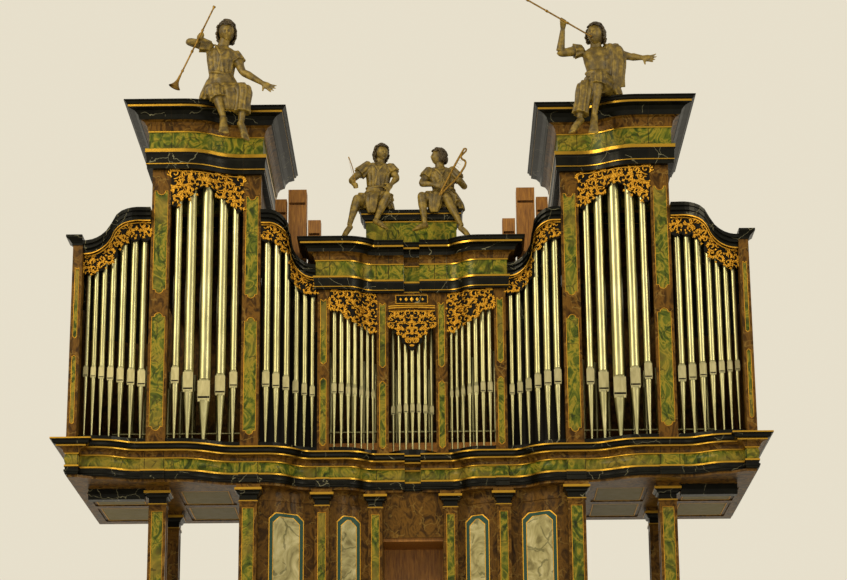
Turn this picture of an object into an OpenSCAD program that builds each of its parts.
// Baroque gallery organ with a concave, serpentine front of nine pipe fields.
// Right half is drawn at +x and mirrored; the origin is on the gallery floor
// under the middle of the footprint, the front faces -y, z is up.

/* [Overall] */
// Width over the impost mouldings
case_w = 8680; // [8400:10:9000]
// Depth from the foremost moulding to the back of the case
case_d = 3050; // [3000:10:3400]
// Height of the impost's top above the gallery floor
impost_top = 2950; // [2700:10:3300]

/* [Front line] */
// Set-back of the wing at the outer post
wing_set = 120; // [80:5:200]
// Set-back of the tower at its outer pilaster
tower_set = 300; // [260:5:320]
// Set-back of the tower at its inner pilaster
tower_in_set = 545; // [520:5:570]
// Set-back of the centre at its outer pilaster
centre_set = 850; // [820:5:880]
// Set-back of the middle bay
bay_set = 1040; // [1000:5:1060]
// Depth of the narrow break in the middle of the bay
notch_set = 100; // [40:5:120]
// Half width of that break
notch_w = 100; // [60:5:120]

/* [Impost] */
// Height of the impost, gold top edge to soffit
impost_h = 422; // [400:1:450]
// Projection of its top edge before the frieze
impost_proj = 175; // [150:5:185]
// Thickness of the moulded front behind the frieze
impost_back = 60; // [40:5:70]
// Width of the rebate that the deck lies in
rebate = 40; // [30:1:45]
// Thickness of the platform deck
deck_t = 40; // [30:1:50]
// Width of the frieze block over the outer post
end_block_w = 145; // [130:5:170]
// Step of the frieze blocks over the pilasters
block_step = 24; // [10:1:30]

/* [Pilasters] */
// Share of the half width at the outer edge of the tower's outer pilaster
tower_share = 0.7488; // [0.74:0.0001:0.755]
// Width of that pilaster
tower_pil_w = 235; // [200:5:260]
// Share of the half width at the outer edge of the tower's inner pilaster
tower_in_share = 0.4885; // [0.484:0.0001:0.495]
// Width of that pilaster
tower_in_w = 225; // [200:5:240]
// Share of the half width at the outer edge of the centre's outer pilaster
centre_share = 0.2735; // [0.27:0.0001:0.276]
// Share of the half width at the outer edge of the bay pilaster
bay_share = 0.103; // [0.1:0.0001:0.106]
// Width of the centre and bay pilasters
slim_w = 148; // [130:1:160]
// Width of the outer posts
outer_post_w = 120; // [100:5:130]
// Depth of every pilaster
pil_d = 110; // [80:5:140]
// Distance of the pilaster faces behind the frieze
pil_back = 35; // [20:1:45]
// Depth of the green insets
inset_depth = 8; // [4:1:14]

/* [Heights above the impost] */
// Underside of the tower entablature
tower_h = 3570; // [3400:10:3700]
// Height of the tower entablature
tower_ent_h = 830; // [800:10:860]
// Underside of the centre entablature
centre_h = 2130; // [2050:10:2200]
// Height of the centre entablature
centre_ent_h = 635; // [600:5:660]
// Top of the wing's cornice at the tower
swag_top = 3030; // [2950:10:3060]
// Top of the wing's cornice at the outer post
swag_low = 2540; // [2480:10:2600]
// Top of the inner swag where it meets the centre
inner_swag_low = 2430; // [2400:10:2480]
// Height of the moulded swag cornices
swag_t = 150; // [120:5:180]
// Height of the boards that close the swag fields behind the pipes
swag_back = 800; // [700:10:900]
// Height of the outer posts
outer_post_h = 2480; // [2400:10:2520]
// Height of the outer case sides
side_h = 2390; // [2200:10:2400]

/* [Pipes] */
// Wall of the metal pipes
pipe_wall = 2; // [1.5:0.5:4]
// Height of the toe boards
toe_h = 100; // [80:5:120]
// Distance of the pipe fronts behind the frieze
pipe_front = 85; // [80:1:110]
// Largest pipe of a tower
tower_pipe_d = 156; // [140:1:165]
// Smallest pipe of a tower
tower_pipe_small = 98; // [90:1:110]
// Mouth height of the largest tower pipe
tower_mouth = 630; // [600:5:680]
// Rise of the mouths from pipe to pipe in a tower
tower_mouth_step = 98; // [60:2:105]
// Mouth height of the wing pipes
wing_mouth = 790; // [740:5:840]
// Mouth height of the middle bay's pipes
bay_mouth = 595; // [560:5:640]
// Forward bow of the middle bay's toe board
bay_bow = 170; // [120:5:180]

/* [Lower case] */
// Share of the half width that the lower case takes
lower_share = 0.4862; // [0.48:0.0001:0.495]
// Share of the half width at the free wing posts
wing_post_share = 0.72; // [0.7:0.001:0.73]
// Width of the free posts
post_w = 215; // [190:5:240]
// Set-back of the wing posts behind the foremost edge
post_set = 850; // [820:5:900]
// Set-back of the pilasters beside the console
console_set = 1250; // [1220:5:1300]
// Set-back of the pilasters between them
mid_set = 1100; // [1060:5:1140]
// Half width of the console niche
niche_x = 370; // [360:5:400]
// Wall of the casework boards
board = 40; // [30:1:50]
// Height of the plinth
plinth_h = 130; // [100:5:180]

/* [Crown] */
// Half width of the crown pedestal's body
crest_x = 580; // [520:5:640]
// Height of the crown pedestal
crest_h = 445; // [400:5:480]
// Depth of the crown pedestal
crest_d = 420; // [360:5:440]

/* [Hidden] */
$fn = 48;

half_w = case_w / 2;
function across(share) = round(share * half_w);
tower_x = across(tower_share);
tower_in_x = across(tower_in_share);
centre_x = across(centre_share);
bay_x = across(bay_share);
lower_x = across(lower_share);
wing_post_x = across(wing_post_share);
// Pipe widths follow the width of their fields
nominal_w = 8680;
width_k = case_w / nominal_w;
function scaled(list) = [for (v = list) v * width_k];
front = -case_d / 2;
back = case_d / 2;
gap = 0.3;

// Frieze line of the front: [inner x, its y, outer x, its y] of each curved stretch
function line_y(set) = front + impost_proj + set;
wing_y = line_y(wing_set);
tower_y = line_y(tower_set);
tower_in_y = line_y(tower_in_set);
centre_y = line_y(centre_set);
bay_y = line_y(bay_set);
notch_y = bay_y + notch_set;
frieze_x = half_w - impost_proj;
block_x = frieze_x - end_block_w;
tower_block = 50;
slim_block = 24;
tower_out = tower_x + tower_block;
tower_in = tower_in_x - tower_in_w - 20;
wing_curve = [tower_out, tower_y, block_x - impost_proj - 5, wing_y];
tower_curve = [tower_in_x + 10, tower_in_y, tower_x - tower_pil_w - 155, tower_y];
inner_curve = [centre_x + slim_block + 9, centre_y, tower_in - 70, tower_in_y];
centre_curve = [bay_x + 3, bay_y, centre_x - slim_w - 189, centre_y];

function curve_r(c) = (pow(c[2] - c[0], 2) + pow(c[1] - c[3], 2)) / (4 * (c[1] - c[3]));
function curve_a(c) = 2 * atan((c[1] - c[3]) / (c[2] - c[0]));

// Frieze line's y at any x, for what stands on the curve
function on_curve(c, x) =
    let (r = curve_r(c), mid = (c[0] + c[2]) / 2)
    x < mid ? c[1] - r + sqrt(max(r * r - pow(x - c[0], 2), 0))
            : c[3] + r - sqrt(max(r * r - pow(c[2] - x, 2), 0));
function frieze_y(x) =
    x > wing_curve[2] ? wing_y
    : x > wing_curve[0] ? on_curve(wing_curve, x)
    : x > tower_curve[2] ? tower_y
    : x > tower_curve[0] ? on_curve(tower_curve, x)
    : x > inner_curve[2] ? tower_in_y
    : x > inner_curve[0] ? on_curve(inner_curve, x)
    : x > centre_curve[2] ? centre_y
    : x > centre_curve[0] ? on_curve(centre_curve, x)
    : x > notch_w ? bay_y : notch_y;

// Moulding curves between two points of a profile [projection, height]
steps = 3;
function cove(a, b) = [for (i = [0 : steps]) let (t = 90 * i / steps)
    [b[0] + (a[0] - b[0]) * (1 - sin(t)), a[1] + (b[1] - a[1]) * (1 - cos(t))]];
function ovolo(a, b) = [for (i = [0 : steps]) let (t = 90 * i / steps)
    [b[0] + (a[0] - b[0]) * cos(t), a[1] + (b[1] - a[1]) * sin(t)]];
function cyma(a, b) = let (m = (a + b) / 2) concat(cove(a, m), [for (i = [1 : steps]) ovolo(m, b)[i]]);
function raised(profile, z) = [for (q = profile) [q[0], q[1] + z]];

// Solids that follow the front line with a profile
module flat_run(profile, x0, x1, y)
    translate([x0, y, 0])
        rotate([90, 0, 90])
            linear_extrude(x1 - x0)
                polygon([for (q = profile) [-q[0], q[1]]]);

// An S-curve of two arcs, with a hairline joint at each end of each
module curve_run(profile, c) {
    r = curve_r(c);
    joint_a = atan(joint / 2 / r);
    a = curve_a(c);
    translate([c[0], c[1] - r, 0])
        rotate([0, 0, 90 - a + joint_a])
            rotate_extrude(angle = a - 2 * joint_a)
                polygon([for (q = profile) [r - q[0], q[1]]]);
    translate([c[2], c[3] + r, 0])
        rotate([0, 0, -90 - a + joint_a])
            rotate_extrude(angle = a - 2 * joint_a)
                polygon([for (q = profile) [r + q[0], q[1]]]);
}
joint = 0.4;

module side_run(profile, x, y0, y1)
    translate([x, y1, 0])
        rotate([90, 0, 0])
            linear_extrude(y1 - y0)
                polygon([for (q = profile) [q[0], q[1]]]);

module both_sides() {
    children();
    mirror([1, 0, 0]) children();
}

// A box given by its two corners
module block(a, b) translate(a) cube(b - a);

// Panel outline with a round lobe at each end, standing in the x-z plane
module lobed(w, h, dip) {
    lobe = 0.3 * w;
    difference() {
        translate([-w / 2, lobe]) square([w, h - (dip ? 1 : 2) * lobe]);
        if (dip) translate([0, h]) circle(lobe);
    }
    for (z = dip ? [lobe] : [lobe, h - lobe]) translate([0, z]) circle(lobe);
}

// Pilaster with sunk lobed insets: [low, high, true where the top end dips]
module pilaster(x, y, z, w, d, h, insets) {
    margin = 34;
    difference() {
        block([x - w / 2, y, z], [x + w / 2, y + d, z + h]);
        for (s = insets)
            translate([x, y + inset_depth, z + s[0]])
                rotate([90, 0, 0])
                    linear_extrude(inset_depth + 1)
                        lobed(w - 2 * margin, s[1] - s[0], s[2]);
    }
}

// Square post or pedestal with the same moulded profile on its four sides
module moulded_block(w, d, profile) {
    reach = w + d + 400;
    module slab(size, turn) {
        right = [for (q = profile) [size / 2 + q[0], q[1]]];
        left = [for (i = [len(profile) - 1 : -1 : 0]) [-right[i][0], right[i][1]]];
        rotate(turn)
            linear_extrude(reach, center = true)
                polygon(concat(right, left));
    }
    intersection() {
        slab(w, [90, 0, 0]);
        slab(d, [90, 0, 90]);
    }
}

// Profiles
impost_profile = let (t = 0, b = -impost_h, p = impost_proj) concat(
    [[-impost_back + rebate, t], [p, t], [p, t - 20]],
    cyma([p - 4, t - 22], [p - 55, t - 73]),
    [[p - 67, t - 73], [p - 67, t - 98]],
    cove([p - 80, t - 98], [25, t - 157]),
    [[14, t - 157], [14, t - 172], [0, t - 172]],
    [for (i = [1 : 5]) [16 * sin(30 * i), t - 172 - (b + 117 + 172) / -6 * i]],
    [[0, b + 117], [16, b + 117], [16, b + 92]],
    cove([14, b + 92], [6, b + 60]),
    [[18, b + 56], [18, b + 34]],
    cyma([16, b + 32], [2, b + 6]),
    [[2, b], [-impost_back, b], [-impost_back, -deck_t], [-impost_back + rebate, -deck_t]]);
impost_band = [[block_step, -172 + 0], [block_step, -impost_h + 117], [block_step + 16, -impost_h + 117],
               [block_step + 16, -impost_h + 92], [block_step + 8, -impost_h + 60],
               [block_step + 18, -impost_h + 50], [block_step + 6, -impost_h], [-impost_back + 20, -impost_h],
               [-impost_back + 20, -172]];

tower_proj = 300;
tower_ent_back = 60;
tower_profile = let (t = tower_ent_h, p = tower_proj) concat(
    [[-tower_ent_back, t], [p, t], [p, t - 14]],
    cyma([p - 3, t - 15], [p - 42, t - 50]),
    [[p - 48, t - 50], [p - 48, t - 90]],
    cove([p - 62, t - 92], [120, t - 205]),
    [[108, t - 205]],
    cove([104, t - 208], [18, t - 326]),
    [[12, t - 326], [12, t - 348], [0, t - 348], [0, 262], [44, 262], [44, 196]],
    cove([38, 194], [26, 70]),
    [[30, 66], [30, 50], [20, 46], [20, 0], [-tower_ent_back, 0]]);

centre_proj = 230;
centre_profile = let (t = centre_ent_h, p = centre_proj) concat(
    [[-impost_back, t], [p, t], [p, t - 14]],
    cyma([p - 3, t - 15], [p - 32, t - 55]),
    [[p - 38, t - 55], [p - 38, t - 85]],
    cove([p - 50, t - 87], [100, t - 165]),
    cove([96, t - 167], [16, t - 250]),
    [[12, t - 250], [12, t - 268], [0, t - 268], [0, 170], [36, 170], [36, 142]],
    cove([30, 140], [20, 38]),
    [[25, 34], [25, 20], [14, 16], [14, 0], [-impost_back, 0]]);

// Lower case
// Its front line, moved back by off, from the console niche out to the corner
function lower_edge(off) = concat(
    [[niche_x, lower_console_y + off]],
    curve_pts([console_x + mid_w / 2, lower_console_y, mid_x - mid_w / 2, lower_mid_y], off),
    curve_pts([mid_x + mid_w / 2, lower_mid_y, lower_x - post_w, lower_y], off),
    [[lower_x, lower_y + off]]);

module lower_strip(near, far, z0, z1) {
    rear = lower_edge(far);
    translate([0, 0, z0])
        linear_extrude(z1 - z0)
            polygon(concat(lower_edge(near), [for (i = [len(rear) - 1 : -1 : 0]) rear[i]]));
}

lower_y = front + post_set + 70;
lower_mid_y = front + mid_set + 55;
lower_console_y = front + console_set + 55;
mid_x = 1120;
mid_w = 190;
console_x = 465;
soffit_z = impost_top - impost_h;
soffit_t = 30;
lower_top = soffit_z - soffit_t;
plinth_out = 30;
module plinth() {
    color("saddlebrown")
        both_sides()
            for (s = [[plinth_out, 0, plinth_h - 24], [plinth_out - 12, plinth_h - 24, plinth_h]]) {
                lower_strip(-s[0], 0, s[1], s[2]);
                block([lower_x, lower_y - s[0], s[1]], [lower_x + s[0], back - board, s[2]]);
            }
}

module lower_front() {
    rail = 150;
    sunk = 12;
    color("sienna") {
        both_sides() {
            lower_strip(0, board, 0, plinth_h + rail);
            lower_strip(sunk, board, plinth_h + rail, lower_top - rail);
            lower_strip(0, board, lower_top - rail, lower_top);
            block([niche_x, lower_console_y + board, 0], [niche_x + board, lower_console_y + niche_d, lower_top]);
        }
        block([-niche_x, lower_console_y, niche_top], [niche_x, lower_console_y + board, lower_top]);
    }
}
niche_d = 620;
niche_top = 1940;

module lower_walls() {
    panel_h = lower_top - plinth_h - 240;
    color("saddlebrown") {
        both_sides()
            difference() {
                block([lower_x - board, lower_y + board, 0], [lower_x, back - board, lower_top]);
                for (i = [0 : 1])
                    translate([lower_x - 10, lower_y + board + 120 + i * 960, plinth_h + 120])
                        cube([20, 820, panel_h]);
            }
        difference() {
            block([-lower_x, back - board, 0], [lower_x, back, lower_top]);
            for (i = [-2 : 1])
                translate([i * 1030 + 90, back - 10, plinth_h + 120])
                    cube([850, 20, panel_h]);
        }
    }
}

post_profile = let (t = lower_top) concat(
    [[26, 0], [26, plinth_h], [12, plinth_h + 26], [12, plinth_h + 40], [0, plinth_h + 52]],
    [[0, t - 230], [10, t - 226], [10, t - 196], [0, t - 192]],
    cove([0, t - 130], [28, t - 98]),
    [[30, t - 96], [58, t - 70], [58, t - 42], [40, t - 42], [40, t]]);
post_inset = [plinth_h + 110, lower_top - 290];

// Lobed recess in the face of a post that looks along the given direction
module sunk_panel(w, turn)
    rotate([90, 0, turn])
        translate([0, post_inset[0], -inset_depth])
            linear_extrude(inset_depth + 1)
                translate([38 - w / 2, 0]) square([w - 76, post_inset[1] - post_inset[0]]);

module post(x, y, w)
    difference() {
        translate([x, y + w / 2, 0]) moulded_block(w, w, post_profile);
        for (s = [[0, -1], [1, 0], [-1, 0]])
            translate([x + s[0] * w / 2, y + w / 2 + s[1] * w / 2, 0]) sunk_panel(w, s[0] * 90);
    }

module wing_posts() {
    color("darkgoldenrod")
        both_sides() {
            post(wing_post_x, front + post_set, post_w);
            post(wing_post_x, back - 500 - post_w, post_w);
        }
}

// Room that the lower front and its plinth take behind a post set before it
module behind(y) {
    block([0, y, -1], [half_w, back, impost_top]);
    block([0, y - plinth_out - gap, -1], [half_w, back, plinth_h]);
}

module inner_posts() {
    color("darkgoldenrod")
        both_sides()
            difference() {
                post(lower_x - post_w / 2, lower_y - post_w, post_w);
                behind(lower_y);
            }
}

module lower_pilasters() {
    d = 130;
    w = mid_w - 16;
    color("darkgoldenrod")
        both_sides()
            for (s = [[mid_x, lower_mid_y], [console_x, lower_console_y]])
                difference() {
                    translate([s[0], s[1] - d / 2, 0]) moulded_block(w, d, post_profile);
                    behind(s[1]);
                    translate([s[0], s[1] - d, 0]) sunk_panel(w, 0);
                }
}

// Beams of the outer wings in front of the soffit panels
beam_h = 130;
beam_d = 150;
module wing_beams() {
    color("black")
        both_sides()
            flat_run(raised(concat([[-20, 0]], cove([-14, 20], [-2, 60]),
                [[0, 64], [0, beam_h], [-beam_d, beam_h], [-beam_d, 0]]), lower_top - beam_h),
                wing_post_x + post_w / 2 + 60 + gap, frieze_x - 180, front + post_set + 30);
}

// Board under the whole platform, panelled in the wings in two rows of two fields
module soffits() {
    off = 20;
    edge = concat(front_edge(off), [[block_x, front + impost_proj + off], [frieze_x - off, front + impost_proj + off],
        [frieze_x - off, back], [0, back]]);
    fields = [[lower_x + 130, wing_post_x - post_w / 2 - 110], [wing_post_x + post_w / 2 + 110, frieze_x - 130]];
    color("tan")
        both_sides()
            difference() {
                translate([0, 0, lower_top]) linear_extrude(soffit_t) polygon(edge);
                for (f = fields, y = [front + post_set + beam_d + 80, front + post_set + beam_d + 1050])
                    block([f[0], y, lower_top - 1], [f[1], y + 830, lower_top + 14]);
            }
}

// Impost
module impost_run(profile) {
    j = joint / 2;
    flat_run(profile, 0, notch_w, notch_y);
    flat_run(profile, notch_w, centre_curve[0] - j, bay_y);
    curve_run(profile, centre_curve);
    flat_run(profile, centre_curve[2] + j, inner_curve[0] - j, centre_y);
    curve_run(profile, inner_curve);
    flat_run(profile, inner_curve[2] + j, tower_curve[0] - j, tower_in_y);
    curve_run(profile, tower_curve);
    flat_run(profile, tower_curve[2] + j, wing_curve[0] - j, tower_y);
    curve_run(profile, wing_curve);
    intersection() {
        flat_run(profile, wing_curve[2] + j, block_x, wing_y);
        mitre_room();
    }
}

// Side of the mitre towards the wing, where its mouldings meet those of the end block
module mitre_room()
    linear_extrude(impost_top + 1)
        polygon([[block_x, wing_y], [block_x - 500, wing_y - 500], [block_x - 500, back], [block_x, back]]);

module impost_front() {
    profile = raised(impost_profile, impost_top);
    band = raised(impost_band, impost_top);
    color("darkolivegreen") {
        both_sides() {
            impost_run(profile);
            flat_run(band, tower_x - tower_pil_w - 10, tower_out - joint, tower_y);
            flat_run(band, tower_in_x - tower_in_w - 10, tower_in_x + 10 - joint, tower_in_y);
            flat_run(band, centre_x - slim_w - 10, centre_x + 10, centre_y);
        }
    }
}

// Block over the outer post, with mitred mouldings on three sides
block_d = 330;
module end_block(profile) {
    y0 = front + impost_proj;
    outer = [for (q = profile) if (q[0] >= 0) q];
    deep = concat(outer, [[-block_d, soffit_z], [-block_d, impost_top]]);
    both_edges = concat(outer, [for (i = [len(outer) - 1 : -1 : 0]) [-end_block_w - outer[i][0], outer[i][1]]]);
    difference() {
        intersection() {
            flat_run(deep, block_x - 400, half_w + 1, y0);
            side_run(both_edges, frieze_x, front - 1, y0 + block_d);
        }
        mitre_room();
    }
}
module impost_returns() {
    profile = raised(impost_profile, impost_top);
    y0 = front + impost_proj + block_d;
    color("darkolivegreen") {
        both_sides() {
            end_block(profile);
            side_run(profile, frieze_x, y0, back);
        }
        block([-frieze_x + impost_back, back - 60, soffit_z], [frieze_x - impost_back, back, impost_top - deck_t]);
    }
}

// Points of the front line, moved back by off, for boards behind it
turns = 5;
function curve_pts(c, off) = let (r = curve_r(c), a = curve_a(c)) concat(
    [for (i = [0 : turns]) let (t = a * i / turns) [c[0] + (r + off) * sin(t), c[1] - r + (r + off) * cos(t)]],
    [for (i = [turns : -1 : 0]) let (t = a * i / turns) [c[2] - (r - off) * sin(t), c[3] + r - (r - off) * cos(t)]]);
function front_edge(off) = concat(
    [[0, notch_y + off], [notch_w + off, notch_y + off], [notch_w + off, bay_y + off]],
    curve_pts(centre_curve, off), curve_pts(inner_curve, off), curve_pts(tower_curve, off), curve_pts(wing_curve, off));

module platform_deck() {
    off = impost_back - rebate + 6;
    edge = concat(front_edge(off), [[block_x - gap, wing_y + off]],
        [[block_x - gap, front + impost_proj + block_d + gap], [frieze_x - off, front + impost_proj + block_d + gap],
         [frieze_x - off, back], [0, back]]);
    color("burlywood")
        translate([0, 0, impost_top - deck_t])
            linear_extrude(deck_t) {
                polygon(edge);
                mirror([1, 0]) polygon(edge);
            }
}

// Console
desk_z = 760;
module keydesk() {
    x = niche_x;
    y = lower_console_y;
    color("peru") {
        difference() {
            union() {
                block([-x, y + niche_d - board, 0], [x, y + niche_d, lower_top]);
                block([-x, y + 60, desk_z - 60], [x, y + niche_d - board, desk_z]);
                for (s = [-1, 1])
                    translate([s * (x - 22), 0, 0])
                        block([-22, y + 60, 0], [22, y + niche_d - board, desk_z]);
                block([-x, y + 300, desk_z], [x, y + niche_d - board, desk_z + 220]);
                block([-x, y + niche_d - board - 60, desk_z + 220], [x, y + niche_d - board, desk_z + 620]);
            }
            block([-x + 60, y + 299, desk_z + 120], [x - 60, y + 430, desk_z + 221]);
        }
        block([-x, y + board, niche_top - board], [x, y + niche_d - board, niche_top]);
    }
}

module keyboards() {
    y = lower_console_y;
    w = 2 * niche_x - 130;
    keys = 29;
    pitch = w / keys;
    color("ivory")
        for (m = [0, 1])
            translate([-w / 2, y + 150 + m * 155, desk_z + m * 120 + gap * m])
                difference() {
                    cube([w, m == 0 ? 145 : 120, 24]);
                    for (i = [1 : keys - 1])
                        translate([i * pitch - 0.75, -1, 16]) cube([1.5, 60, 10]);
                }
}

module pedalboard() {
    y = lower_console_y - 200;
    w = 1040;
    d = 480;
    pedals = 25;
    pitch = (w - 80) / (pedals - 1);
    color("peru")
        difference() {
            block([-w / 2, y - d, 0], [w / 2, y, 70]);
            for (i = [0 : pedals - 2])
                translate([-w / 2 + 52 + i * pitch, y - d + 40, 20]) cube([16, d - 80, 60]);
        }
}

// Upper case supports
outer_post_d = 190;
module outer_posts() {
    y = front + impost_proj + pil_back;
    x = frieze_x + 10 - outer_post_w / 2;
    color("darkgoldenrod")
        both_sides()
            pilaster(x, y, impost_top, outer_post_w, outer_post_d, outer_post_h, [[210, 1070, false], [1290, 2190, true]]);
}

tower_insets = [[190, 1690, false], [1943, 3290, true]];
module tower_pilasters() {
    color("darkgoldenrod")
        both_sides() {
            pilaster(tower_x - tower_pil_w / 2, tower_y + pil_back, impost_top, tower_pil_w, pil_d, tower_h, tower_insets);
            pilaster(tower_in_x - tower_in_w / 2, tower_in_y + pil_back, impost_top, tower_in_w, pil_d, tower_h, tower_insets);
        }
}

module centre_pilasters() {
    insets = [[110, 980, false], [1160, 2010, true]];
    color("darkgoldenrod")
        both_sides() {
            pilaster(centre_x - slim_w / 2, centre_y + pil_back, impost_top, slim_w, pil_d, centre_h, insets);
            pilaster(bay_x - slim_w / 2, bay_y + pil_back, impost_top, slim_w, pil_d, centre_h, insets);
        }
}

// Pipe fields: [outer x, inner x, diameters from the outer pipe inwards]
wing_field = [frieze_x + 10 - outer_post_w, tower_x, scaled([60, 64, 70, 78, 86, 94, 98])];
tower_field = [tower_x - tower_pil_w, tower_in_x,
    scaled([for (i = [0 : 4]) tower_pipe_d - abs(i - 2) * (tower_pipe_d - tower_pipe_small) / 2])];
inner_field = [tower_in_x - tower_in_w, centre_x, scaled([92, 88, 82, 74, 68, 62])];
side_field = [centre_x - slim_w, bay_x, scaled([62, 60, 56, 52, 48, 44, 40])];
bay_field = [bay_x - slim_w, -bay_x + slim_w, scaled([50, 51, 52, 52, 52, 51, 50])];
function sum(v, n) = n <= 0 ? 0 : v[n - 1] + sum(v, n - 1);
function field_gap(f) = (f[0] - f[1] - sum(f[2], len(f[2]))) / (len(f[2]) + 1);
function pipe_x(f, i) = f[0] - (i + 1) * field_gap(f) - sum(f[2], i) - f[2][i] / 2;
function bow(x) = bay_bow * (1 - pow(x / (bay_x - slim_w), 2));

module toe_boards() {
    d = 260;
    top = impost_top + toe_h;
    color("black") {
        both_sides()
            for (f = [wing_field, tower_field, inner_field, side_field])
                translate([0, 0, impost_top])
                    linear_extrude(toe_h)
                        polygon(concat(
                            [for (i = [0 : 8]) let (x = f[1] + gap + (f[0] - f[1] - 2 * gap) * i / 8) [x, frieze_y(x) + 60]],
                            [for (i = [8 : -1 : 0]) let (x = f[1] + gap + (f[0] - f[1] - 2 * gap) * i / 8) [x, frieze_y(x) + d]]));
        translate([0, 0, impost_top])
            linear_extrude(toe_h)
                polygon(concat(
                    [for (i = [-6 : 6]) let (x = (bay_x - slim_w - gap) * i / 6) [x, bay_y + 210 - bow(x)]],
                    [[bay_x - slim_w - gap, bay_y + 340], [-bay_x + slim_w + gap, bay_y + 340]]));
    }
}

// One open metal pipe with a cone foot and a pressed flat mouth, facing -y
module metal_pipe(d, foot, mouth, top) {
    r = d / 2;
    flat = 0.7 * r;
    lip_h = min(1.9 * d, 225);
    cut_up = 0.15 * d;
    tip = max(9, 0.13 * d);
    inner = r - pipe_wall;
    difference() {
        union() {
            difference() {
                translate([0, 0, mouth]) cylinder(r = r, h = top - mouth);
                translate([-r, -r - 1, mouth + cut_up]) cube([d, r - flat + 1, lip_h]);
            }
            difference() {
                translate([0, 0, foot]) cylinder(r1 = tip, r2 = r, h = mouth - foot);
                translate([0, -flat, mouth])
                    rotate([-22, 0, 0])
                        translate([-d, -d, -d]) cube([2 * d, d, d + 40]);
            }
        }
        difference() {
            translate([0, 0, mouth]) cylinder(r = inner, h = top - mouth + 1);
            translate([-r, -r - 1, mouth - 1]) cube([d, r - flat + pipe_wall + 1, cut_up + lip_h + pipe_wall + 1]);
        }
        translate([0, 0, foot - 1]) cylinder(r1 = tip - pipe_wall, r2 = flat - 2 * pipe_wall, h = mouth - foot - 5);
        translate([-0.62 * r, -r - 1, mouth]) cube([1.24 * r, r - flat + pipe_wall + 2, cut_up]);
    }
}

// Rows of pipes: mouths and tops are given as heights above the impost
module pipe_row(f, mouths, tops)
    for (i = [0 : len(f[2]) - 1])
        translate([pipe_x(f, i), frieze_y(pipe_x(f, i)) + pipe_front + f[2][i] / 2, impost_top])
            metal_pipe(f[2][i], toe_h, mouths[i], tops[i]);

module tower_pipes() {
    mouths = [for (i = [0 : 4]) tower_mouth + abs(i - 2) * tower_mouth_step];
    tops = [for (i = [0 : 4]) tower_h - 60 - abs(i - 2) * 120];
    color("lightyellow") both_sides() pipe_row(tower_field, mouths, tops);
}

module outer_swag_pipes() {
    mouths = [for (i = [0 : 6]) wing_mouth + (6 - i) * 12];
    tops = [for (i = [0 : 6]) swag_edge(outer_swag, pipe_x(wing_field, i)) - swag_t - 60];
    color("lightyellow") both_sides() pipe_row(wing_field, mouths, tops);
}

module inner_swag_pipes() {
    mouths = [for (i = [0 : 5]) wing_mouth + (5 - i) * 12 - 15];
    tops = [for (i = [0 : 5]) swag_edge(inner_swag, pipe_x(inner_field, i)) - swag_t - 60];
    color("lightyellow") both_sides() pipe_row(inner_field, mouths, tops);
}

module side_field_pipes() {
    mouths = [for (i = [0 : 6]) 810];
    tops = [for (i = [0 : 6]) centre_h - 120 - 30 * i];
    color("lightyellow") both_sides() pipe_row(side_field, mouths, tops);
}

module centre_pipes() {
    f = bay_field;
    color("lightyellow")
        for (i = [0 : len(f[2]) - 1])
            translate([pipe_x(f, i), bay_y + 210 - bow(pipe_x(f, i)) + 25 + f[2][i] / 2, impost_top])
                metal_pipe(f[2][i], toe_h, bay_mouth, centre_h - 260);
}

// Swag cornices: S-curves in elevation, [outer x, its z, inner x, its z] above the impost
outer_swag = [tower_x + 120, swag_top, frieze_x - outer_post_w - 10, swag_low];
inner_swag = [centre_x + 40, inner_swag_low, tower_in_x - tower_in_w - 90, swag_top + 40];
function swag_edge(s, x) =
    let (l = s[2] - s[0], h = s[1] - s[3], r = (l * l + h * h) / (4 * abs(h)), mid = (s[0] + s[2]) / 2, k = sign(h))
    x <= s[0] ? s[1] : x >= s[2] ? s[3]
    : x < mid ? s[1] - k * (r - sqrt(max(r * r - pow(x - s[0], 2), 0)))
              : s[3] + k * (r - sqrt(max(r * r - pow(s[2] - x, 2), 0)));

// Strip of the plan that follows the front line between two offsets from it
module line_strip(x0, x1, near, far) {
    n = 14;
    xs = [for (i = [0 : n]) x0 + (x1 - x0) * i / n];
    translate([0, 0, impost_top])
        linear_extrude(tower_h)
            polygon(concat([for (x = xs) [x, frieze_y(x) + near]],
                [for (i = [n : -1 : 0]) [xs[i], frieze_y(xs[i]) + far]]));
}

// An outline in the x-z plane, carried through the whole depth
module elevation()
    translate([0, back, 0])
        rotate([90, 0, 0])
            linear_extrude(case_d)
                children();

module swag_band(s, x0, x1, drop0, drop1, near, far) {
    n = 14;
    xs = [for (i = [0 : n]) x0 + (x1 - x0) * i / n];
    intersection() {
        elevation()
            polygon(concat([for (x = xs) [x, impost_top + swag_edge(s, x) - drop0]],
                [for (i = [n : -1 : 0]) [xs[i], impost_top + swag_edge(s, xs[i]) - drop1]]));
        line_strip(x0, x1, near, far);
    }
}

module swag_cornice(s, x0, x1) {
    swag_band(s, x0, x1, 0, 45, -110, 75);
    swag_band(s, x0, x1, 45, 95, -75, 75);
    swag_band(s, x0, x1, 95, swag_t, -35, 75);
}

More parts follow.
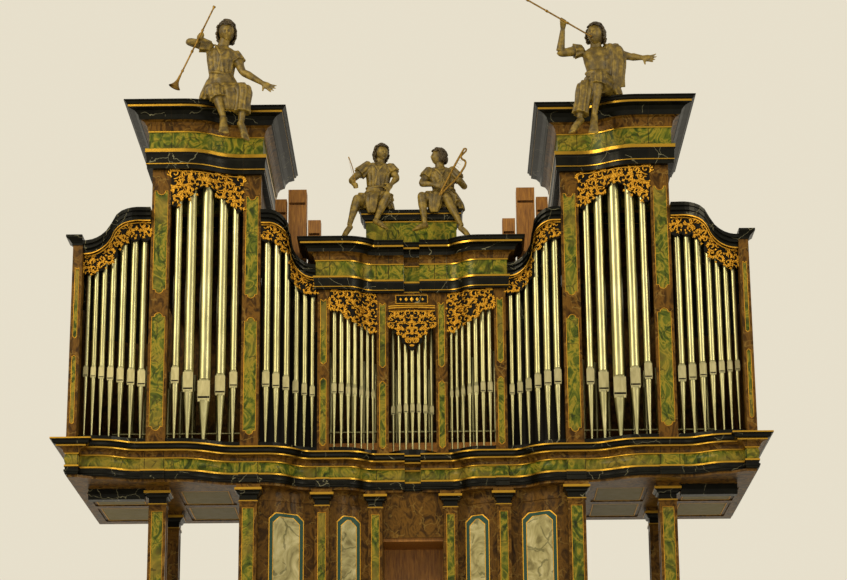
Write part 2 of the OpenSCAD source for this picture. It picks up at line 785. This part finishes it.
module outer_swag_cornices() {
    post_x = frieze_x - outer_post_w + 10;
    cap = [[0, 0], [12, 0], [12, 20], [30, 46], [55, 70], [80, 90], [80, 118], [0, 118]];
    color("black")
        both_sides() {
            swag_cornice(outer_swag, tower_x + gap, post_x - gap);
            swag_band(outer_swag, tower_x - 30 + gap, frieze_x - 60, 10, swag_back, 235, 255);
            difference() {
                translate([post_x + outer_post_w / 2, front + impost_proj + pil_back + outer_post_d / 2,
                    impost_top + outer_post_h]) moulded_block(outer_post_w, outer_post_d, cap);
                block([0, front, impost_top], [post_x, back, impost_top + tower_h]);
            }
        }
}

// Room of the centre's entablature, whose end the inner swags meet
module centre_end()
    block([0, front, impost_top + centre_h - gap], [centre_out + 36 + gap, back, impost_top + centre_h + 170 + gap]);

module inner_swag_cornices() {
    color("black")
        both_sides() {
            difference() {
                swag_cornice(inner_swag, centre_out + gap, tower_in_x - tower_in_w - gap);
                centre_end();
            }
            swag_band(inner_swag, centre_x + 60, tower_in_x - tower_in_w + 30 - gap, 10, swag_back, 235, 255);
        }
}

// Carved shades: boards with scalloped lower edges
shade_t = 28;
shade_back = pil_back + 4;
module swag_shades(s, x0, x1, depth, lobes)
    intersection() {
        elevation()
            intersection() {
                union()
                    for (i = [0 : lobes - 1]) {
                        w = (x1 - x0) / lobes;
                        x = x0 + w * (i + 0.5);
                        z = impost_top + swag_edge(s, x) - swag_t - depth;
                        polygon([[x - w / 2, impost_top + swag_edge(s, x - w / 2) - swag_t],
                            [x + w / 2, impost_top + swag_edge(s, x + w / 2) - swag_t], [x + w / 2, z], [x - w / 2, z]]);
                        translate([x, z]) circle(w * 0.56);
                    }
                translate([x0, impost_top]) square([x1 - x0, tower_h]);
            }
        line_strip(x0, x1, shade_back, shade_back + shade_t);
    }

module outer_swag_shades() {
    color("gold") both_sides()
        swag_shades(outer_swag, tower_x + gap, frieze_x + 10 - outer_post_w - gap, 175, 6);
}

module inner_swag_shades() {
    color("gold") both_sides()
        difference() {
            swag_shades(inner_swag, centre_x + gap, tower_in_x - tower_in_w - gap, 165, 6);
            centre_end();
        }
}

// Outline of a level shade whose lower edge is given as drops, from x0 to x1
module shade_outline(x0, x1, z_top, drops) {
    w = (x1 - x0) / len(drops);
    intersection() {
        union()
            for (i = [0 : len(drops) - 1]) {
                translate([x0 + i * w, z_top - drops[i]]) square([w, drops[i]]);
                translate([x0 + (i + 0.5) * w, z_top - drops[i]]) circle(w * 0.56);
            }
        translate([x0, z_top - 1000]) square([x1 - x0, 1000]);
    }
}

module level_shade(x0, x1, z_top, drops)
    intersection() {
        elevation() shade_outline(x0, x1, z_top, drops);
        line_strip(x0, x1, shade_back, shade_back + shade_t);
    }

module tower_shades() {
    color("gold") both_sides()
        level_shade(tower_in_x + gap, tower_x - tower_pil_w - gap, impost_top + tower_h,
            [430, 340, 270, 180, 120, 180, 270, 340, 430]);
}

head_y = bay_y + pil_back;
head_h = 220;
module centre_shades() {
    w = bay_x - slim_w - gap;
    color("gold") {
        both_sides()
            level_shade(bay_x + gap, centre_x - slim_w - gap, impost_top + centre_h, [400, 380, 350, 310, 270, 230, 190]);
        intersection() {
            elevation() shade_outline(-w, w, impost_top + centre_h - head_h, [180, 280, 400, 480, 400, 280, 180]);
            block([-w, head_y - 20, impost_top], [w, head_y + 8, impost_top + tower_h]);
        }
    }
}

module bay_head() {
    w = bay_x - slim_w - gap;
    plaque = 205;
    color("saddlebrown")
        block([-w, head_y - 20, impost_top + centre_h - head_h], [w, head_y + 20, impost_top + centre_h]);
    color("black")
        block([-plaque, head_y - 32, impost_top + centre_h - 150], [plaque, head_y - 20, impost_top + centre_h - 35]);
}

// Entablatures
module tower_entablature() {
    z = impost_top + tower_h;
    profile = raised(tower_profile, z);
    y_out = tower_y - 10;
    y_in = tower_in_y - 10;
    curve = [tower_curve[0], y_in, tower_curve[2], y_out];
    top = z + tower_ent_h;
    outer = [for (q = profile) if (q[0] > -tower_ent_back) q];
    ring_d = back - y_out;
    full_front = concat(outer, [[-ring_d, z], [-ring_d, top]]);
    full_side = concat(outer, [[-2000, z], [-2000, top]]);
    intersection() {
        union() {
            flat_run(profile, tower_in - 400, curve[0] - joint / 2, y_in);
            flat_run(profile, curve[2] + joint / 2, tower_out + 400, y_out);
        }
        side_run(full_side, tower_out, front - 100, back);
        translate([2 * tower_in, 0, 0]) mirror([1, 0, 0]) side_run(full_side, tower_in, front - 100, back);
    }
    curve_run(profile, curve);
    intersection() {
        side_run(profile, tower_out, front - 100, back);
        flat_run(full_front, tower_out - 100, tower_out + 400, y_out);
    }
    intersection() {
        translate([2 * tower_in, 0, 0]) mirror([1, 0, 0]) side_run(profile, tower_in, front - 100, back);
        flat_run(full_front, tower_in - 400, tower_in + 100, y_in);
    }
    block([tower_in + 50, back - tower_ent_back, z], [tower_out - 50, back, top]);
    roof(concat([[tower_in + tower_ent_back + gap, y_in + roof_set]], curve_pts(curve, roof_set),
        [[tower_out - tower_ent_back - gap, y_out + roof_set], [tower_out - tower_ent_back - gap, back - tower_ent_back - gap],
         [tower_in + tower_ent_back + gap, back - tower_ent_back - gap]]), top);
}

// Roof board that lies within a ring of mouldings
roof_set = 62;
module roof(outline, top) translate([0, 0, top - 30]) linear_extrude(30) polygon(outline);

module tower_entablature_right() {
    color("darkolivegreen") tower_entablature();
}

module tower_entablature_left() {
    color("darkolivegreen") mirror([1, 0, 0]) tower_entablature();
}

centre_out = centre_x + slim_block;
module centre_entablature() {
    z = impost_top + centre_h;
    top = z + centre_ent_h;
    profile = raised(centre_profile, z);
    y_c = centre_y - 10;
    y_b = bay_y - 10;
    curve = [centre_curve[0], y_b, centre_curve[2], y_c];
    outer = [for (q = profile) if (q[0] > -impost_back) q];
    full_front = concat(outer, [[-1200, z], [-1200, top]]);
    full_side = concat(outer, [[-2500, z], [-2500, top]]);
    ret = 420;
    edge = concat([[0, y_b + notch_set + roof_set], [notch_w + roof_set, y_b + notch_set + roof_set],
        [notch_w + roof_set, y_b + roof_set]], curve_pts(curve, roof_set),
        [[centre_out - impost_back - gap, y_c + roof_set], [centre_out - impost_back - gap, y_c + ret]]);
    color("darkolivegreen") {
        both_sides() {
            intersection() {
                union() {
                    flat_run(profile, 0, notch_w, y_b + notch_set);
                    flat_run(profile, notch_w, curve[0] - joint / 2, y_b);
                    flat_run(profile, curve[2] + joint / 2, centre_out + 300, y_c);
                }
                side_run(full_side, centre_out, front - 100, back);
            }
            curve_run(profile, curve);
            intersection() {
                side_run(profile, centre_out, front - 100, y_c + ret);
                flat_run(full_front, centre_out - 100, centre_out + 300, y_c);
            }
        }
        roof(concat(edge, [for (i = [len(edge) - 1 : -1 : 0]) [-edge[i][0], edge[i][1]]]), top);
    }
}

// Interior and outer walls
chest_y0 = front + 1750;
chest_y1 = back - 420;
chest_z = 300;
module wind_chests() {
    color("orange")
        for (s = [[-frieze_x + 260, -tower_in], [-centre_x, centre_x], [tower_in, frieze_x - 260]]) {
            block([s[0], chest_y0, impost_top + 140], [s[1], chest_y1, impost_top + chest_z]);
            for (x = [s[0] + 60, s[1] - 140])
                block([x, chest_y0 + 60, impost_top], [x + 80, chest_y1 - 60, impost_top + 140]);
        }
}

module inner_pipes() {
    color("silver")
        for (s = [[-frieze_x + 380, -tower_in - 160, 12], [-centre_x + 130, centre_x - 130, 16], [tower_in + 160, frieze_x - 380, 12]]) {
            w = s[1] - s[0];
            z = impost_top + chest_z;
            block([s[0] - 60, chest_y0 + 90, z + 160], [s[1] + 60, chest_y0 + 400, z + 175]);
            for (x = [s[0] - 60, s[1] + 35]) block([x, chest_y0 + 200, z], [x + 25, chest_y0 + 260, z + 160]);
            for (row = [0, 1], i = [0 : s[2] - 1])
                translate([s[0] + w * i / (s[2] - 1), chest_y0 + 160 + row * 160, z]) {
                    cylinder(r1 = 9, r2 = 26, h = 220);
                    translate([0, 0, 220]) cylinder(r = 26, h = 500 + row * 260 + 40 * abs(i - s[2] / 2 + 0.5));
                }
        }
}

module wooden_pipes() {
    sizes = [for (s = [[1175, 165, 3200], [1362, 235, 3620], [1618, 150, 3490]]) concat(scaled([s[0], s[1]]), s[2])];
    color("orange")
        both_sides()
            for (s = sizes)
                translate([s[0], chest_y0 - 300, impost_top])
                    difference() {
                        cube([s[1], s[1], s[2]]);
                        translate([14, 14, 30]) cube([s[1] - 28, s[1] - 28, s[2]]);
                        translate([14, -1, s[2] - 210]) cube([s[1] - 28, 20, 34]);
                    }
}

module framed_wall(w, h, t, cols, rows) {
    margin = 90;
    cw = (w - margin) / cols - margin;
    ch = (h - margin) / rows - margin;
    difference() {
        cube([w, t, h]);
        for (i = [0 : cols - 1], j = [0 : rows - 1])
            translate([margin + i * (cw + margin), t - 8, margin + j * (ch + margin)]) cube([cw, 9, ch]);
    }
}

module side_walls() {
    y0 = front + impost_proj + pil_back + outer_post_d + gap;
    color("saddlebrown")
        both_sides()
            translate([frieze_x - 20, back - 30, impost_top])
                rotate([0, 0, -90]) framed_wall(back - 30 - y0, side_h, 30, 3, 2);
}

centre_rise = 330;
module back_wall() {
    color("saddlebrown") {
        translate([-frieze_x - 10, back - 30, impost_top]) framed_wall(2 * frieze_x + 20, side_h, 30, 10, 2);
        translate([gap - tower_in - 30, back - 30, impost_top + side_h]) framed_wall(2 * (tower_in + 30 - gap), centre_rise, 30, 4, 1);
        both_sides()
            translate([tower_in + 30, back - 30, impost_top + side_h])
                framed_wall(tower_out - tower_in - 60, tower_h - side_h, 30, 2, 1);
    }
}

module tower_walls() {
    z0 = impost_top + 2300;
    color("saddlebrown")
        both_sides() {
            block([tower_x - 60, tower_y + pil_back + pil_d + gap, z0], [tower_x - 30, back - 30 - gap, impost_top + tower_h]);
            block([tower_in_x - tower_in_w + 30, tower_in_y + pil_back + pil_d + gap, z0],
                [tower_in_x - tower_in_w + 60, back - 30 - gap, impost_top + tower_h]);
        }
}

// Crown and figures
crest_y = bay_y - 10 - centre_proj + notch_set + 40;
crest_z = impost_top + centre_h + centre_ent_h;
module crown_pedestal() {
    h = crest_h;
    color("darkolivegreen") {
        translate([0, crest_y + crest_d / 2, crest_z])
            moulded_block(2 * crest_x, crest_d - 120, concat(
                [[0, 0], [0, h - 150], [10, h - 150], [10, h - 130]],
                cove([14, h - 128], [50, h - 60]),
                [[60, h - 60], [60, h - 40], [66, h - 36], [80, h - 12], [80, h]]));
    }
}

module limb(a, b, ra, rb)
    hull() {
        translate(a) sphere(ra);
        translate(b) sphere(rb);
    }

// Seated figure from its joints: head, shoulders, elbows, hands, hips, knees, feet
module seated(p, edge_y, seat_z) {
    $fn = 14;
    difference() {
        union() {
            translate(p[0]) scale([0.88, 1, 1.12]) sphere(105);
            limb(p[0] + [0, 10, -80], (p[1] + p[2]) / 2, 52, 70);
            hull() {
                translate(p[1]) sphere(72);
                translate(p[2]) sphere(72);
                translate(p[7] + [0, 0, 120]) sphere(135);
            }
            hull() {
                translate(p[7] + [-90, 0, 0]) sphere(140);
                translate(p[7] + [90, 0, 0]) sphere(140);
                translate(p[7] + [0, 0, 130]) sphere(120);
            }
            for (s = [[1, 3, 5], [2, 4, 6]]) {
                limb(p[s[0]], p[s[1]], 66, 46);
                limb(p[s[1]], p[s[2]], 46, hand_r);
            }
            for (s = [[-80, 8, 10], [80, 9, 11]]) {
                limb(p[7] + [s[0], 0, 0], p[s[1]], 118, 88);
                limb(p[s[1]], p[s[2]], 74, 40);
                limb(p[s[2]], p[s[2]] + [0, -110, -40], 38, 30);
            }
        }
        block([-5000, edge_y, 0], [5000, back + 100, seat_z]);
    }
}

// Joints of the four figures, measured from the middle of the seat edge
tower_seat = impost_top + tower_h + tower_ent_h;
function from_seat(x, y, z, list) = [for (q = list) [x + q[0], y + q[1], z + q[2]]];
right_x = across(0.5461);
left_x = -right_x;
tower_edge = frieze_y(2700) - 10 - tower_proj;

module left_tower_angel() {
    color("darkkhaki")
        seated(from_seat(left_x, tower_edge, tower_seat,
            [[40, 110, 965], [-205, 130, 760], [170, 120, 610], [-455, 100, 825], [265, 20, 365], [-278, -60, 812],
             [610, -20, 140], [-20, 170, 125], [-60, -60, 50], [285, -50, 60], [45, -130, -310], [285, -110, -420]]),
            tower_edge, tower_seat);
}

module right_tower_angel() {
    color("darkkhaki")
        seated(from_seat(right_x, tower_edge, tower_seat,
            [[-12, 50, 830], [-225, 120, 660], [235, 120, 620], [-465, 60, 600], [440, 80, 550], [-412, -10, 992],
             [650, 0, 480], [60, 170, 130], [-175, -60, 40], [5, -60, 190], [-250, -120, -400], [-65, -120, -350]]),
            tower_edge, tower_seat);
}

crest_top = crest_z + crest_h;
crest_edge = crest_y + 60 - 80;
module left_centre_angel() {
    color("darkkhaki")
        seated(from_seat(-420, crest_edge, crest_top,
            [[40, 130, 830], [-170, 130, 640], [170, 130, 620], [-370, 60, 420], [250, 60, 480], [-290, -40, 310],
             [120, -20, 470], [-30, 150, 130], [-270, -60, 110], [110, -70, 160], [-420, -170, -300], [-20, -150, -190]]),
            crest_edge, crest_top);
}

module right_centre_angel() {
    color("darkkhaki")
        seated(from_seat(420, crest_edge, crest_top,
            [[-60, 130, 760], [-210, 130, 560], [110, 130, 560], [-300, 40, 380], [270, 60, 330], [21, -40, 343],
             [185, -40, 369], [30, 150, 120], [-290, -80, 150], [30, -70, 130], [-240, -150, -260], [250, -170, -320]]),
            crest_edge, crest_top);
}

// Places a turned piece with its axis from a to b
module along(a, b) {
    v = b - a;
    translate(a)
        rotate([0, acos(v[2] / norm(v)), atan2(v[1], v[0])])
            children();
}

module trumpet(length)
    difference() {
        union() {
            cylinder(r = tube_r, h = length);
            cylinder(r1 = 22, r2 = tube_r, h = 30);
            translate([0, 0, length - 190]) cylinder(r1 = tube_r, r2 = 30, h = 110);
            translate([0, 0, length - 80]) cylinder(r1 = 30, r2 = 80, h = 80);
        }
        translate([0, 0, length - 70]) cylinder(r1 = 20, r2 = 76, h = 71);
    }

hand_r = 34;
tube_r = 13;
module instruments() {
    left_y = tower_edge - 60 - hand_r - tube_r - gap;
    right_y = tower_edge - 10 - hand_r - tube_r - gap;
    centre_front = crest_edge - 40 - hand_r - gap;
    bow_r = 8;
    color("peru") {
        along([left_x - 100, left_y, tower_seat + 1215], [left_x - 584, left_y, tower_seat + 115]) trumpet(1200);
        along([right_x - 58, right_y, tower_seat + 765], [right_x - 1058, right_y, tower_seat + 1405]) trumpet(1190);
        along([-705, centre_front - bow_r, crest_top + 285], [-795, centre_front - bow_r, crest_top + 685])
            cylinder(r = bow_r, h = 420);
        translate([370, centre_front, crest_top])
            rotate([90, 0, 0])
                linear_extrude(36)
                    difference() {
                        harp_outline();
                        harp_gap();
                    }
    }
}

module harp_outline()
    polygon([[-12, 150], [15, 140], [120, 235], [262, 395], [332, 520], [345, 600], [302, 690], [362, 770], [345, 800], [312, 792]]);
module harp_gap() polygon([[84, 290], [118, 282], [232, 418], [297, 528], [311, 592], [276, 662]]);

plinth();
lower_front();
lower_walls();
wing_posts();
inner_posts();
lower_pilasters();
wing_beams();
soffits();
impost_front();
impost_returns();
platform_deck();
keydesk();
keyboards();
pedalboard();
outer_posts();
tower_pilasters();
centre_pilasters();
toe_boards();
wind_chests();
inner_pipes();
wooden_pipes();
side_walls();
back_wall();
tower_walls();
tower_entablature_left();
tower_entablature_right();
centre_entablature();
bay_head();
outer_swag_cornices();
inner_swag_cornices();
tower_shades();
outer_swag_shades();
inner_swag_shades();
centre_shades();
tower_pipes();
outer_swag_pipes();
inner_swag_pipes();
side_field_pipes();
centre_pipes();
crown_pedestal();
left_tower_angel();
right_tower_angel();
left_centre_angel();
right_centre_angel();
instruments();
